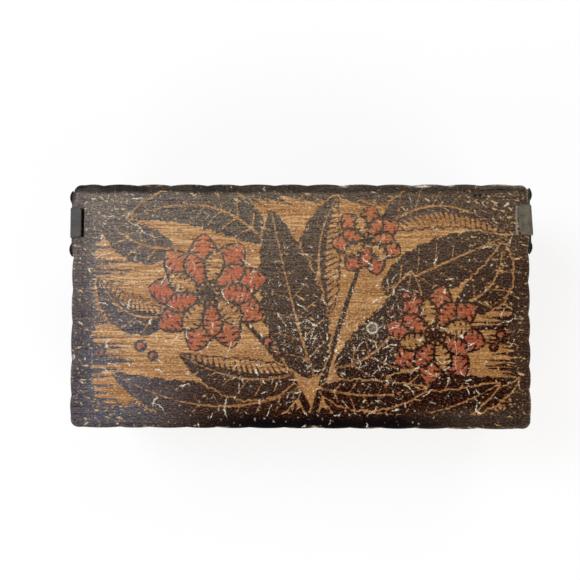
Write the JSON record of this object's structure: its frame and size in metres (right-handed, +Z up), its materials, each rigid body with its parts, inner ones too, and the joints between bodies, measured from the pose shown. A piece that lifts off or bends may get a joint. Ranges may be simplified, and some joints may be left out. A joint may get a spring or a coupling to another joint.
{
  "type": "lidded wooden box",
  "caption": "Small rectangular wooden box with finger-jointed walls and a scalloped, burnt and stained lid that swings back on bent steel end hinges.",
  "frame": {"origin": "middle of the underside, on the surface that the box stands on", "axes": "+X along the length to the right end, +Y to the back where the lid is hinged, +Z up"},
  "size_m": [0.1964, 0.1014, 0.0649],
  "materials": {
    "lid_wood": "burnt and stained, worn varnish",
    "side_wood": "burnt and stained, worn varnish",
    "bottom_wood": "bare, aged",
    "hinge_steel": "dull, darkened with age",
    "nail_steel": "blackened",
    "screw_steel": "dull",
    "washer_steel": "dull",
    "brad_steel": "slightly rusted"
  },
  "bodies": {
    "box": {"front_wall": "side_wood", "back_wall": "side_wood", "left_end_wall": "side_wood", "right_end_wall": "side_wood", "bottom_board": "bottom_wood", "left_pivot_screw": "screw_steel", "right_pivot_screw": "screw_steel", "left_pivot_washer": "washer_steel", "right_pivot_washer": "washer_steel", "front_brads": "brad_steel", "back_brads": "brad_steel", "left_brads": "brad_steel", "right_brads": "brad_steel"},
    "lid": {"lid_board": "lid_wood", "left_hinge_arm": "hinge_steel", "right_hinge_arm": "hinge_steel", "left_front_nail": "nail_steel", "left_back_nail": "nail_steel", "right_front_nail": "nail_steel", "right_back_nail": "nail_steel"}
  },
  "joints": [
    {"name": "lid_hinge", "type": "hinge", "parent": "box", "child": "lid", "pos_m": [0, 0.03515, 0.0316], "axis": [-1, 0, 0], "range_deg": [0, 119]}
  ]
}
